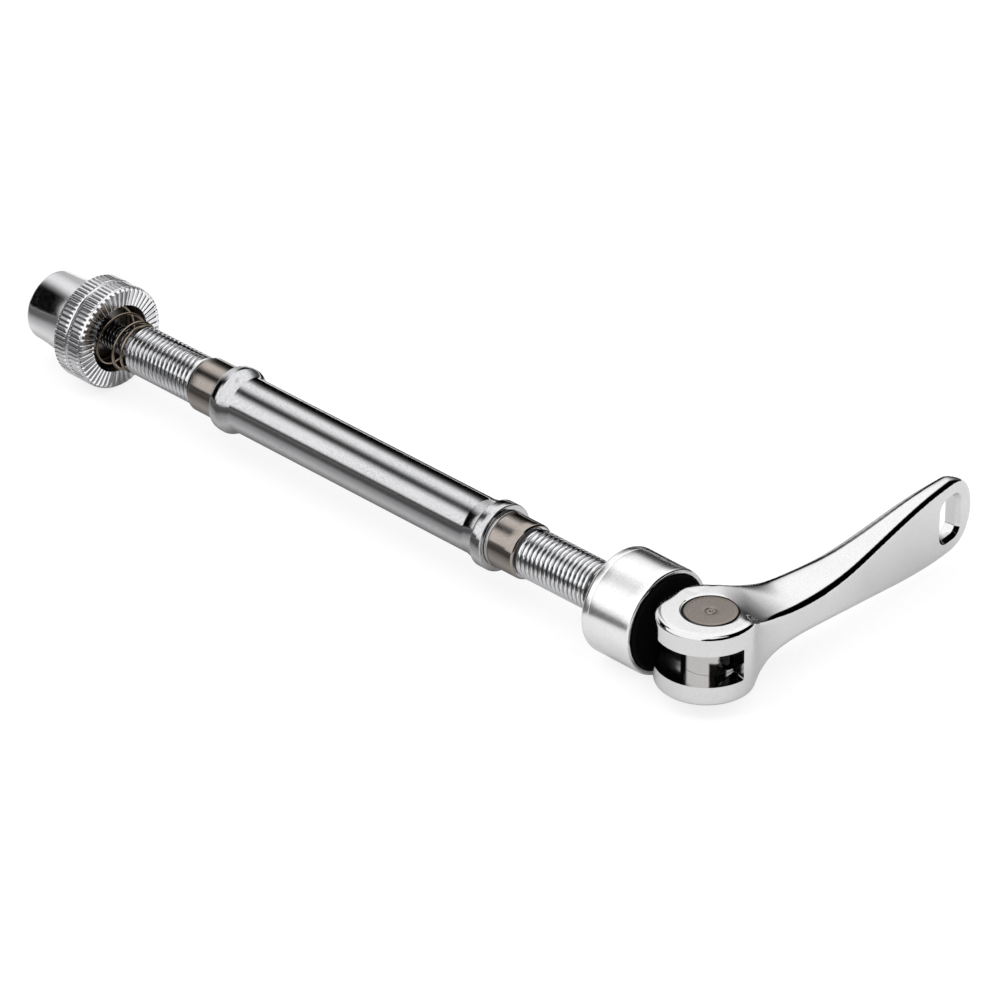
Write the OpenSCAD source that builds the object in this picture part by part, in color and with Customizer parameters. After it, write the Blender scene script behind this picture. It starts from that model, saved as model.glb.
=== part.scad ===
// Front hub axle with a quick-release skewer.
// The hollow axle lies along X with its middle at the origin.
// The cam lever is at +X, the adjusting nut at -X, and the lever's cross pin runs along Z.

/* [Hollow axle] */
// Overall length of the hollow axle
axle_length = 114.4; // [104:0.2:130]
// Bore that the skewer rod passes through
axle_bore_d = 5.6; // [5.2:0.1:6.4]
// Diameter of the plain body between the shoulders
body_d = 10.2; // [9.6:0.1:11]
// Diameter of the ground bearing seats
seat_d = 10; // [9.4:0.1:10.6]
// Length of each bearing seat
seat_length = 6.5; // [5:0.5:9]
// Distance between the outer ends of the two seats
seat_spacing = 80; // [70:1:90]
// Diameter of the bearing shoulders
shoulder_d = 12.2; // [11.6:0.1:13.4]
// Length of the rounded shoulder on the nut side
bulge_length = 4.3; // [3:0.1:6]
// Length of the straight collar on the lever side
collar_length = 2.4; // [1.6:0.1:4]
// Length of the cone behind the straight collar
cone_length = 2.8; // [1.5:0.1:5]
// Height of the step between that cone and the collar
collar_step = 0.35; // [0.1:0.05:0.7]
// Major diameter of the threaded ends
thread_d = 8.9; // [8:0.1:9.2]
// Length of the relief groove between thread and seat
relief_length = 0.6; // [0.3:0.1:1]
// Depth of that relief groove below the thread
relief_depth = 0.45; // [0.2:0.05:0.8]
// Chamfer at the axle's two ends
end_chamfer = 0.8; // [0.3:0.1:1.2]

/* [Skewer rod] */
// Diameter of the skewer rod
rod_d = 5; // [4.4:0.1:5.2]
// How far the rod's end stays inside the nut's tip
rod_inset = 1.2; // [0.6:0.1:3]
// Chamfer at the rod's ends
rod_chamfer = 0.5; // [0.2:0.1:0.8]

/* [Adjusting nut] */
// Gap between the axle's end and the nut's serrated face
nut_gap = 5.3; // [4:0.1:7]
// Overall length of the adjusting nut
nut_length = 17.7; // [16:0.1:22]
// Diameter over the knurled ring
nut_d = 19.2; // [17:0.1:22]
// Length of the knurled ring
ring_length = 7.7; // [6.5:0.1:10]
// Diameter where the cone leaves the ring
nut_waist_d = 15.8; // [14.8:0.1:17]
// Diameter at the nut's tip
nut_tip_d = 13; // [12:0.1:14.6]
// Diameter of the recess that holds the spring
nut_recess_d = 12.6; // [12:0.1:13.6]
// Depth of that recess
nut_recess_depth = 4.5; // [3.5:0.1:6]
// Number of knurl ridges round each band
knurl_count = 67; // [40:1:90]
// Depth of the knurl
knurl_depth = 0.3; // [0.15:0.05:0.4]
// Number of gripping teeth on the serrated face
face_teeth = 50; // [30:1:64]
// Depth of those teeth at the outer edge
face_tooth_depth = 0.5; // [0.3:0.05:0.7]
// Width of the plain groove between the two knurled bands
band_groove = 0.8; // [0.5:0.1:1.4]
// Length of the nylon locking insert
insert_length = 3; // [2:0.1:4]
// Outer diameter of the locking insert
insert_d = 8.4; // [7.6:0.1:9]

/* [Springs] */
// Wire thickness of both conical springs
wire_d = 0.5; // [0.4:0.05:0.6]
// Coil diameter at the axle's end, on the wire's centreline
spring_small_d = 8.3; // [7.6:0.1:8.6]
// Gap between the spring's large coil and the recess wall
spring_play = 0.25; // [0.1:0.05:0.6]
// Number of turns of each spring
spring_turns = 4.5; // [3.5:0.5:5]

/* [Cam cup] */
// Gap between the axle's end and the cup's inner face
cup_gap = 3.3; // [2.5:0.1:6]
// Outer diameter of the cup
cup_d = 19; // [17.5:0.1:22]
// Overall length of the cup
cup_length = 10.9; // [10:0.1:14]
// Wall of the cup round the cushion
cup_rim = 0.9; // [0.6:0.1:1.6]
// Depth of the pocket that holds the cushion
cup_pocket_depth = 3.5; // [2.5:0.1:4.5]
// Diameter of the recess that holds the spring
cup_recess_d = 12.6; // [12:0.1:13.6]
// Depth of that recess
cup_recess_depth = 5; // [4:0.1:5.6]
// Rounding of the cup's outer edges
cup_round = 0.5; // [0.2:0.1:0.8]

/* [Cup cushion] */
// How far the bottom of the saddle stands out of the cup
cushion_proud = 0.4; // [0.1:0.05:1]
// Depth of the saddle groove that the cam ears ride in
saddle_depth = 0.2; // [0.1:0.05:0.4]
// Radius of the saddle groove
saddle_r = 12; // [11:0.5:16]

/* [Cam lever] */
// Diameter of the two cam ears
ear_d = 17.3; // [16:0.1:18]
// Height of the fork over both ears
fork_height = 13.4; // [12:0.1:15]
// Clear gap between the ears
fork_gap = 5.9; // [5.6:0.1:6.4]
// Offset between the ears' centre and the cross pin
cam_offset = 0.7; // [0.5:0.05:1.2]
// Angle that the closed lever has passed its tightest point by
cam_angle = 41; // [20:1:60]
// Rounding of the ears' outer edges
ear_round = 0.9; // [0.3:0.1:1.2]
// Distance from the cross pin to the lever's tip
lever_reach = 64; // [54:1:75]
// Distance from the cross pin to the flat outer face
face_offset = 5.5; // [4.5:0.1:6]
// Radius of the bend between the neck and the blade
face_bow_r = 100; // [70:5:160]
// Angle that the blade leans in by past that bend
blade_lean = 8; // [4:0.5:12]
// Thickness of the lever at the neck
neck_thickness = 9.3; // [7:0.1:10]
// Thickness of the lever at the tip
tip_thickness = 2.3; // [2:0.1:4]
// Height of the outer face at the neck
neck_height = 4.8; // [4:0.1:7]
// Height of the inner side at the neck
neck_back_height = 7.6; // [6:0.1:9]
// Height of the blade's outer face near the tip
blade_height = 12.8; // [10:0.1:13.4]
// Height of the blade's inner side near the tip
blade_back_height = 11.2; // [9:0.1:12.6]
// Radius of the fillet between the inner ear side and the neck
neck_fillet = 4; // [2:0.5:6]
// Width of the window near the tip, along the lever
window_w = 5.2; // [3.5:0.1:6]
// Height of that window
window_h = 7.6; // [5:0.1:8.4]
// Wall between the window and the tip
window_wall = 3.7; // [3:0.1:7]

/* [Cross pin] */
// Diameter of the cross pin
pin_d = 9.7; // [8.4:0.1:10]
// How far each pin end lies below the ear's outer face
pin_inset = 0.1; // [0:0.05:0.5]
// Width of the chamfer round the pin hole
pin_hole_chamfer = 0.8; // [0.4:0.1:1]

/* [Fits] */
// Radial clearance of every turning or sliding fit
running_gap = 0.05; // [0.02:0.01:0.1]
// Radial clearance of pieces that stay put in each other
seat_gap = 0.02; // [0.01:0.01:0.04]
// Smallest gap between the cam ears and the cushion
cam_gap = 0.06; // [0.04:0.01:0.2]

/* [Hidden] */
$fn = 96;
eps = 0.01;
axle_end = axle_length / 2;
seat_end = seat_spacing / 2;
shoulder_face = seat_end - seat_length;
seat_chamfer = 0.3;
collar_chamfer = 0.25;
bulge_round = 0.8;

nut_face = -axle_end - nut_gap;
nut_tip = nut_face - nut_length;
nut_recess_floor = nut_face - nut_recess_depth;
ring_end = nut_face - ring_length;
ring_bevel = 0.8;
tip_round = 0.5;
insert_inset = 0.3;
rod_start = nut_tip + rod_inset;

cup_face = axle_end + cup_gap;
cup_rim_x = cup_face + cup_length;
cup_recess_floor = cup_face + cup_recess_depth;
cup_pocket_floor = cup_rim_x - cup_pocket_depth;
cup_pocket_r = cup_d / 2 - cup_rim;
saddle_x = cup_rim_x + cushion_proud;

ear_r = ear_d / 2;
ear_centre = [-cam_offset * cos(cam_angle), -cam_offset * sin(cam_angle)];
pin_x = saddle_x + cam_gap + cam_offset + ear_r;
pin_half = fork_height / 2 - pin_inset;
pin_chamfer = 0.3;
rod_end = pin_x + pin_d / 2 - 0.35;

fork_half = fork_height / 2;
fork_flat = 1;
fork_crown = 1.9;
fork_power = 2.2;
neck_y = 9;
bow_start = 18;
back_rise = 26;
blade_full = 56;
tip_run = 6;
window_round = 1.6;
web_corner = [ear_centre[0] + ear_r - 0.02, ear_centre[1] - 0.04, 0];
web_angle = 14.8;
body_steps = 26;
tip_steps = 9;
stations = concat(
    [for (i = [0:body_steps - 1]) i * (lever_reach - tip_run) / body_steps],
    [for (i = [0:tip_steps]) lever_reach - tip_run + tip_run * sin(90 * i / tip_steps)]);

// A polygon in (x, r) turned about the X axis
module turned(profile) {
    rotate([0, 90, 0])
        rotate_extrude()
            polygon([for (p = profile) [p[1], p[0]]]);
}

// A round hole along X between two places
module hole_x(r, from, to) {
    translate([from, 0, 0])
        rotate([0, 90, 0])
            cylinder(r = r, h = to - from);
}

// Points of an arc in (x, r), from angle a to angle b
function arc(cx, cr, r, a, b, n = 8) =
    [for (i = [0:n]) [cx + r * cos(a + (b - a) * i / n), cr + r * sin(a + (b - a) * i / n)]];

// 0 before 0, 1 after 1, and a smooth rise between
function ease(t) = t <= 0 ? 0 : t >= 1 ? 1 : t * t * (3 - 2 * t);

// The axle is turned from one bar: thread, relief, seat and shoulder at each end
module hollow_axle() {
    thread_r = thread_d / 2;
    seat_r = seat_d / 2;
    shoulder_r = shoulder_d / 2;
    body_r = body_d / 2;
    relief_r = thread_r - relief_depth;
    bulge_end = -shoulder_face + bulge_length;
    collar_start = shoulder_face - collar_length;
    bulge_flat = bulge_length * 0.45;
    taper_steps = 8;
    color("silver")
        difference() {
            turned(concat(
                [[-axle_end, 0], [-axle_end, thread_r - end_chamfer],
                 [-axle_end + end_chamfer, thread_r],
                 [-seat_end - relief_length, thread_r], [-seat_end - relief_length, relief_r],
                 [-seat_end, relief_r], [-seat_end, seat_r - seat_chamfer],
                 [-seat_end + seat_chamfer, seat_r], [-shoulder_face, seat_r]],
                arc(-shoulder_face + bulge_round, shoulder_r - bulge_round, bulge_round, 180, 90, 5),
                [for (i = [0:taper_steps])
                    [-shoulder_face + bulge_flat + (bulge_length - bulge_flat) * i / taper_steps,
                     shoulder_r - (shoulder_r - body_r) * ease(i / taper_steps)]],
                [[collar_start - cone_length, body_r], [collar_start, shoulder_r - collar_step],
                 [collar_start, shoulder_r - collar_chamfer / 2],
                 [collar_start + collar_chamfer / 2, shoulder_r],
                 [shoulder_face - collar_chamfer, shoulder_r],
                 [shoulder_face, shoulder_r - collar_chamfer], [shoulder_face, seat_r],
                 [seat_end - seat_chamfer, seat_r], [seat_end, seat_r - seat_chamfer],
                 [seat_end, relief_r], [seat_end + relief_length, relief_r],
                 [seat_end + relief_length, thread_r], [axle_end - end_chamfer, thread_r],
                 [axle_end, thread_r - end_chamfer], [axle_end, 0]]));
            hole_x(axle_bore_d / 2, -axle_end - 1, axle_end + 1);
        }
}

module skewer_rod() {
    r = rod_d / 2;
    color("lightsteelblue")
        turned([[rod_start, 0], [rod_start, r - rod_chamfer], [rod_start + rod_chamfer, r],
                [rod_end - rod_chamfer, r], [rod_end, r - rod_chamfer], [rod_end, 0]]);
}

// The barrel-shaped pin that the rod is riveted into and the lever turns on
module cam_pin() {
    r = pin_d / 2;
    color("dimgray")
        difference() {
            translate([pin_x, 0, 0])
                rotate_extrude()
                    polygon([[0, -pin_half], [r - pin_chamfer, -pin_half],
                             [r, -pin_half + pin_chamfer], [r, pin_half - pin_chamfer],
                             [r - pin_chamfer, pin_half], [0, pin_half]]);
            hole_x(rod_d / 2 + seat_gap, pin_x - r - 1, pin_x + r + 1);
            for (side = [-1, 1])
                translate([pin_x, 0, side * pin_half])
                    rotate([side > 0 ? 0 : 180, 0, 0])
                        pin_end_marks();
        }
}

// Centre-drill dimple and the ring that riveting leaves round it
module pin_end_marks() {
    dimple_r = 0.5;
    ring_r = 0.95;
    mark_depth = 0.12;
    rotate_extrude()
        polygon([[0, eps], [dimple_r, eps], [0, -dimple_r]]);
    rotate_extrude()
        polygon([[ring_r - mark_depth, eps], [ring_r + mark_depth, eps], [ring_r, -mark_depth]]);
}

// Outer face of the lever: straight at the neck, then a bend, then straight to the tip
function outer_x(y) =
    let (d = max(0, y - bow_start), run = face_bow_r * sin(blade_lean))
    face_offset - (d < run ? face_bow_r - sqrt(pow(face_bow_r, 2) - d * d)
                           : face_bow_r * (1 - cos(blade_lean)) + (d - run) * tan(blade_lean));
function thickness(y) =
    neck_thickness + (tip_thickness - neck_thickness) * max(0, min(1, (y - neck_y) / (lever_reach - neck_y)));
function inner_x(y) = outer_x(y) - thickness(y);

// Half height of the lever along one edge, from the fork through the neck to the blade
function tip_curve(y) =
    let (t = max(0, min(1, (y - lever_reach + tip_run) / tip_run))) sqrt(max(0, 1 - t * t));
function edge_half(y, neck, blade, rise_from, fork_from, fork_to) =
    max(eps, tip_curve(y) * (neck + (blade - neck) * ease((y - rise_from) / (blade_full - rise_from))
        + (fork_half - neck) * pow(max(0, (fork_to - y) / (fork_to - fork_from)), fork_power)));
function outer_half(y) =
    min(fork_half, edge_half(y, neck_height / 2, blade_height / 2, bow_start, fork_flat + 0.6, bow_start));
function inner_half(y) =
    min(fork_half + fork_crown,
        edge_half(y, neck_back_height / 2, blade_back_height / 2, back_rise, neck_y - 0.3, bow_start + 1.5));

// Plan outline of the neck and blade
module lever_plan() {
    inner_edge = [for (y = stations) if (y >= neck_y) [inner_x(y), y]];
    outer_edge = [for (y = stations) [outer_x(y), y]];
    polygon(concat(outer_edge, [for (i = [len(inner_edge) - 1:-1:0]) inner_edge[i]],
                   [[inner_x(neck_y), neck_y]], neck_fillet_points(), [[ear_centre[0], 0]]));
}

// Fillet tangent to the ear and to the neck's inner side
function neck_fillet_points() =
    let (c = [inner_x(neck_y) - neck_fillet,
              ear_centre[1] + sqrt(pow(ear_r + neck_fillet, 2)
                                   - pow(inner_x(neck_y) - neck_fillet - ear_centre[0], 2))],
         end = atan2(ear_centre[1] - c[1], ear_centre[0] - c[0]))
    [for (i = [0:6]) [c[0] + neck_fillet * cos(end * i / 6), c[1] + neck_fillet * sin(end * i / 6)]];

// The space above the lever's sloping upper face, which runs between two edge curves
module above_lever() {
    side = ear_d;
    ceiling = 3 * fork_height;
    rows = [for (y = stations) if (y > fork_flat) y];
    tilt = [for (y = rows) (outer_half(y) - inner_half(y)) / thickness(y)];
    level = fork_half + eps;
    back = [for (i = [0:len(rows) - 1]) inner_half(rows[i]) - tilt[i] * (side + inner_x(rows[i]))];
    front = [for (i = [0:len(rows) - 1]) outer_half(rows[i]) + tilt[i] * (side - outer_x(rows[i]))];
    along = concat([-ear_d, fork_flat], rows, [lever_reach + 1]);
    low = concat([level, level], back, [eps]);
    high = concat([level, level], front, [eps]);
    m = len(along);
    points = concat([for (i = [0:m - 1]) [-side, along[i], low[i]]],
                    [for (i = [0:m - 1]) [side, along[i], high[i]]],
                    [for (i = [0:m - 1]) [-side, along[i], ceiling]],
                    [for (i = [0:m - 1]) [side, along[i], ceiling]]);
    faces = concat(
        [for (i = [0:m - 2]) each [[i, m + i, i + 1], [i + 1, m + i, m + i + 1]]],
        [for (i = [0:m - 2]) each [[2 * m + i, 2 * m + i + 1, 3 * m + i],
                                   [2 * m + i + 1, 3 * m + i + 1, 3 * m + i]]],
        [for (i = [0:m - 2]) each [[i, i + 1, 2 * m + i], [i + 1, 2 * m + i + 1, 2 * m + i]]],
        [for (i = [0:m - 2]) each [[m + i, 3 * m + i, m + i + 1], [m + i + 1, 3 * m + i, 3 * m + i + 1]]],
        [[0, 2 * m, 3 * m, m], [m - 1, 2 * m - 1, 4 * m - 1, 3 * m - 1]]);
    polyhedron(points, faces);
}

// Rounded rectangle in the lever's side view, drawn about its own centre
module rounded_window(w, h, r) {
    square([w, h - 2 * r], center = true);
    square([w - 2 * r, h], center = true);
    for (sx = [-1, 1], sy = [-1, 1])
        translate([sx * (w / 2 - r), sy * (h / 2 - r)])
            circle(r, $fn = 32);
}

// Two ears, the web that joins them, the neck and the blade
module cam_lever() {
    hole_r = pin_d / 2 + running_gap;
    color("gainsboro")
        translate([pin_x, 0, 0])
            difference() {
                union() {
                    translate(ear_centre)
                        rotate_extrude()
                            polygon(concat([[0, -fork_half]],
                                arc(ear_r - ear_round, -fork_half + ear_round, ear_round, -90, 0, 5),
                                arc(ear_r - ear_round, fork_half - ear_round, ear_round, 0, 90, 5),
                                [[0, fork_half]]));
                    translate([0, 0, -fork_half])
                        linear_extrude(fork_height)
                            lever_plan();
                }
                above_lever();
                mirror([0, 0, 1])
                    above_lever();
                cylinder(r = hole_r, h = fork_height + 2, center = true);
                for (side = [0, 1])
                    mirror([0, 0, side])
                        translate([0, 0, fork_half - pin_hole_chamfer / 2])
                            cylinder(r1 = hole_r, r2 = hole_r + pin_hole_chamfer + eps,
                                     h = pin_hole_chamfer / 2 + eps);
                translate(web_corner)
                    rotate([0, 0, -web_angle])
                        translate([-3 * ear_r, -3 * ear_r, -fork_gap / 2])
                            cube([6 * ear_r, 3 * ear_r, fork_gap]);
                translate([0, lever_reach - window_wall - window_w / 2, 0])
                    rotate([90, 0, 90])
                        linear_extrude(3 * neck_thickness, center = true)
                            rounded_window(window_w, window_h, window_round);
            }
}

module cam_cup() {
    r = cup_d / 2;
    color("whitesmoke")
        difference() {
            turned(concat([[cup_face, 0]], arc(cup_face + cup_round, r - cup_round, cup_round, 180, 90, 5),
                          arc(cup_rim_x - cup_round, r - cup_round, cup_round, 90, 0, 5),
                          [[cup_rim_x, 0]]));
            hole_x(cup_recess_d / 2, cup_face - 1, cup_recess_floor);
            hole_x(rod_d / 2 + 2 * running_gap, cup_face, cup_rim_x);
            hole_x(cup_pocket_r, cup_pocket_floor, cup_rim_x + 1);
        }
}

// Plastic washer that fills the cup, with a saddle for the cam ears
module cup_cushion() {
    r = cup_pocket_r - running_gap;
    back = cup_pocket_floor + running_gap;
    front = saddle_x + saddle_depth;
    edge = 0.3;
    color([0.08, 0.08, 0.08])
        difference() {
            turned([[back, 0], [back, r], [front - edge, r], [front, r - edge], [front, 0]]);
            hole_x(rod_d / 2 + running_gap, back - 1, front + 1);
            translate([saddle_x + saddle_r, 0, 0])
                cylinder(r = saddle_r, h = cup_d, center = true);
        }
}

// Conical coil along X: turns grow from small_r at x0 to large_r at x1, closer at both ends
module conical_spring(x0, x1, small_r, large_r) {
    rings = 18;
    sides = 8;
    n = round(spring_turns * rings);
    ease_share = 0.8;
    function along(t) = x0 + (x1 - x0) * (t - ease_share * sin(360 * t) / 360 * 180 / PI);
    function radius(t) = small_r + (large_r - small_r) * t;
    function ring(t) =
        [for (k = [0:sides - 1])
            let (a = 360 * spring_turns * t,
                 rr = radius(t) + wire_d / 2 * cos(360 * k / sides))
            [along(t) + wire_d / 2 * sin(360 * k / sides), rr * cos(a), rr * sin(a)]];
    points = [for (i = [0:n]) each ring(i / n)];
    faces = concat(
        [for (i = [0:n - 1], k = [0:sides - 1])
            let (a = i * sides + k, b = i * sides + (k + 1) % sides)
            each [[a, a + sides, b], [b, a + sides, b + sides]]],
        [[for (k = [0:sides - 1]) k]],
        [[for (k = [sides - 1:-1:0]) n * sides + k]]);
    polyhedron(points, faces);
}

spring_lift = wire_d / 2 + 0.05;

module cam_spring() {
    color("gray")
        mirror([1, 0, 0])
            conical_spring(-axle_end - spring_lift, -cup_recess_floor + spring_lift,
                           spring_small_d / 2, cup_recess_d / 2 - spring_play - wire_d / 2);
}

module nut_spring() {
    color("gray")
        conical_spring(-axle_end - spring_lift, nut_recess_floor + spring_lift,
                       spring_small_d / 2, nut_recess_d / 2 - spring_play - wire_d / 2);
}

// Outline of a knurled band: straight ridges with narrow grooves between them
module knurl_outline() {
    r = nut_d / 2;
    polygon([for (i = [0:knurl_count - 1])
        let (a = 360 / knurl_count)
        each [[r * cos(a * (i - 0.28)), r * sin(a * (i - 0.28))],
              [r * cos(a * (i + 0.28)), r * sin(a * (i + 0.28))],
              [(r - knurl_depth) * cos(a * (i + 0.5)), (r - knurl_depth) * sin(a * (i + 0.5))]]]);
}

// The nut's turned form without its knurl and teeth
module nut_blank() {
    r = nut_d / 2;
    core = r - 0.85 * knurl_depth;
    collar_r = r - 0.3 * knurl_depth;
    waist_r = nut_waist_d / 2;
    tip_r = nut_tip_d / 2;
    cone = ring_end - nut_tip;
    hollow = 0.25;
    steps = 8;
    turned(concat(
        [[nut_tip, 0]], arc(nut_tip + tip_round, tip_r - tip_round, tip_round, 180, 96, 4),
        [for (i = [1:steps])
            [nut_tip + tip_round + (cone - tip_round) * i / steps,
             tip_r + (waist_r - tip_r) * i / steps - hollow * sin(180 * i / steps)]],
        [[ring_end + ring_bevel, core], [nut_face - ring_bevel, core],
         [nut_face - ring_bevel, collar_r], [nut_face - ring_bevel / 2, collar_r],
         [nut_face, r - ring_bevel / 2], [nut_face, 0]]));
}

// One knurled band between two places, drawn square-ended
module knurl_band(from, to) {
    translate([from, 0, 0])
        rotate([0, 90, 0])
            linear_extrude(to - from)
                knurl_outline();
}

// Cutters for the V grooves between the gripping teeth
module face_grooves() {
    outer = nut_d / 2 + 1;
    half = 180 / face_teeth;
    width = outer * tan(half);
    depth = face_tooth_depth * outer / (nut_d / 2);
    for (i = [0:face_teeth - 1])
        rotate([i * 360 / face_teeth, 0, 0])
            translate([nut_face, 0, 0])
                polyhedron([[0.02, 0, 0], [0.02, -width, outer], [0.02, width, outer], [-depth, 0, outer]],
                           [[0, 1, 2], [0, 3, 1], [0, 2, 3], [1, 3, 2]]);
}

module adjusting_nut() {
    mid = (nut_face - ring_bevel + ring_end + ring_bevel) / 2;
    bore_r = rod_d / 2 + running_gap;
    color("gainsboro")
        difference() {
            union() {
                nut_blank();
                knurl_band(ring_end + ring_bevel / 2, mid - band_groove / 2);
                knurl_band(mid + band_groove / 2, nut_face - 0.8 * ring_bevel);
            }
            face_grooves();
            hole_x(nut_recess_d / 2, nut_recess_floor, nut_face + 1);
            hole_x(bore_r, nut_tip - 1, nut_face);
            hole_x(insert_d / 2, nut_tip - 1, nut_tip + insert_inset + insert_length + seat_gap);
        }
}

module nut_lock_insert() {
    start = nut_tip + insert_inset;
    color("white")
        difference() {
            hole_x(insert_d / 2 - seat_gap, start, start + insert_length);
            hole_x(rod_d / 2 + running_gap, start - 1, start + insert_length + 1);
        }
}

hollow_axle();
skewer_rod();
cam_pin();
cam_lever();
cam_cup();
cup_cushion();
cam_spring();
nut_spring();
adjusting_nut();
nut_lock_insert();
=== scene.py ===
"""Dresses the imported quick-release hub axle for its studio picture.

The frame gives every piece its size and place. Each class below makes one sub-assembly's visible
pieces, in millimetres on the page and metres in the file, and gives them their finish.
"""

import logging
import math
from dataclasses import dataclass, field
from enum import Enum
from typing import Callable, Optional, Sequence

import bpy
from mathutils import Matrix, Vector


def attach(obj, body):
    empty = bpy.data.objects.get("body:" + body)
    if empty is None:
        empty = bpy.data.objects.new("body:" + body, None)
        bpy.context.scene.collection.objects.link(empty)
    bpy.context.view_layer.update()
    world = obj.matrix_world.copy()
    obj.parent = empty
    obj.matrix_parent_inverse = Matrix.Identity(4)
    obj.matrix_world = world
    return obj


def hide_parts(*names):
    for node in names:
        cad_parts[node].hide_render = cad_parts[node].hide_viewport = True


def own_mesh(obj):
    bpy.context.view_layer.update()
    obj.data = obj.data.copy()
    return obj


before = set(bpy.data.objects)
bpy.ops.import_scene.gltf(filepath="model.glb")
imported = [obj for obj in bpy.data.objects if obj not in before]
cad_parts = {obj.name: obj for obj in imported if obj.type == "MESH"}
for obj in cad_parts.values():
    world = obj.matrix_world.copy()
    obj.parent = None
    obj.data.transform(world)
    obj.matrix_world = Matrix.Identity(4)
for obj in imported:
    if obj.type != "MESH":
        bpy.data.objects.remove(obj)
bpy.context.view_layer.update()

LOG = logging.getLogger("hub_axle")
MM = 0.001
TURN = 2 * math.pi
# The shares of a thread's half pitch that its crest and its flank take
THREAD_CREST, THREAD_FLANK = 0.48, 0.36
SMOOTH_DEG = 35

Point = tuple[float, float]
Spot = tuple[float, float, float]
Place = Callable[[int, float], Spot]
Piece = bpy.types.Object
Socket = bpy.types.NodeSocket


class Body(Enum):
    """The bodies of the frame that pieces ride on."""

    AXLE = "axle"
    CAM_SPRING = "spring_carriage"
    SKEWER = "skewer"
    LEVER = "lever"
    CUP = "cup"
    NUT_SPRING = "nut_carriage"
    NUT = "nut"


class Lay(Enum):
    """The way a cutting or polishing tool's marks run on a metal."""

    RINGS = "rings round the X axis"
    FACING = "rings on a face, round the cross pin"
    NONE = "no direction"


def linear(hex_colour: str) -> tuple[float, float, float, float]:
    """Turns an sRGB hex colour into Blender's linear values.

    Args:
        hex_colour: Six hex digits, such as "c8c8c8".

    Returns:
        Linear red, green, blue and an alpha of 1.
    """

    def channel(value: float) -> float:
        """One channel from sRGB to linear."""
        return value / 12.92 if value <= 0.04045 else ((value + 0.055) / 1.055) ** 2.4

    parts = [int(hex_colour[i : i + 2], 16) / 255 for i in (0, 2, 4)]
    return (channel(parts[0]), channel(parts[1]), channel(parts[2]), 1.0)


class Nodes:
    """The node tree of a material or a world, while it is being made."""

    def __init__(self, owner: bpy.types.Material | bpy.types.World) -> None:
        """Starts with an empty tree.

        Args:
            owner: The material or world that the nodes belong to.
        """
        owner.use_nodes = True
        self.tree = owner.node_tree
        self.tree.nodes.clear()

    def add(self, kind: str, inputs: Optional[dict] = None, **settings: object) -> bpy.types.Node:
        """Adds one node with its settings, and links or fills its sockets.

        Args:
            kind: Blender's type name of the node, without ShaderNode in front.
            inputs: Socket name or index to a value, or to another node's output socket.
            settings: The node's own properties.

        Returns:
            The new node.
        """
        node = self.tree.nodes.new("ShaderNode" + kind)
        for key, value in settings.items():
            setattr(node, key, value)
        for key, value in (inputs or {}).items():
            if isinstance(value, Socket):
                self.tree.links.new(value, node.inputs[key])
            else:
                node.inputs[key].default_value = value
        return node

    def place(self) -> Socket:
        """The piece's own coordinates."""
        return self.add("TexCoord").outputs["Object"]

    def noise(self, place: Socket, scale: float, detail: float = 2.0, **more: float) -> Socket:
        """A noise's value at each place."""
        inputs = {"Vector": place, "Scale": scale, "Detail": detail, **more}
        return self.add("TexNoise", inputs).outputs["Fac"]

    def remap(self, value: Socket, source: Point = (0.0, 1.0), target: Point = (0.0, 1.0)) -> Socket:
        """Maps a value from one span to another, and holds it at the span's ends."""
        inputs = {"Value": value, "From Min": source[0], "From Max": source[1]}
        inputs |= {"To Min": target[0], "To Max": target[1]}
        return self.add("MapRange", inputs).outputs["Result"]

    def span(self, value: Socket, low_mm: float, high_mm: float) -> Socket:
        """Turns a place between two distances into a value from 0 to 1."""
        return self.remap(value, (low_mm * MM, high_mm * MM))

    def ramp(self, source: Socket, stops: Sequence[Point], low: float = 0.0, high: float = 1.0) -> Socket:
        """Maps a value from 0 to 1 through stops.

        Args:
            source: The value to map.
            stops: Places from low to high with the grey value at each.
            low: The place of value 0.
            high: The place of value 1.

        Returns:
            The mapped colour socket.
        """
        node = self.add("ValToRGB", {"Fac": source})
        band = node.color_ramp
        while len(band.elements) < len(stops):
            band.elements.new(1.0)
        for element, (place, grey) in zip(band.elements, stops):
            element.position = (place - low) / (high - low)
            element.color = (grey, grey, grey, 1.0)
        return node.outputs["Color"]

    def math(self, operation: str, first: Socket, second: Socket) -> Socket:
        """Combines two values."""
        return self.add("Math", {0: first, 1: second}, operation=operation).outputs[0]

    def multiply(self, first: Socket, second: Socket | Spot) -> Socket:
        """Multiplies two colours or vectors, channel by channel."""
        return self.add("VectorMath", {0: first, 1: second}, operation="MULTIPLY").outputs[0]

    def radius(self, place: Socket, across: Spot) -> Socket:
        """The distance from an axis, with 1 for the directions across it and 0 for the one along it."""
        flat = self.multiply(place, across)
        return self.add("VectorMath", {0: flat}, operation="LENGTH").outputs["Value"]

    def mix(self, factor: Socket, first: object, second: object) -> Socket:
        """Mixes two colours, each a socket or a value."""
        inputs = {"Factor": factor, 6: first, 7: second}
        return self.add("Mix", inputs, data_type="RGBA").outputs[2]

    def bump(self, height: Socket, height_mm: float, strength: float = 1.0, **more: Socket) -> Socket:
        """Bends the normal by a height."""
        inputs = {"Height": height, "Strength": strength, "Distance": height_mm * MM, **more}
        return self.add("Bump", inputs).outputs["Normal"]

    def surface(self, kind: str, inputs: dict) -> None:
        """Ends a material with one shader."""
        self.add("OutputMaterial", {"Surface": self.add(kind, inputs).outputs[0]})


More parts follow.
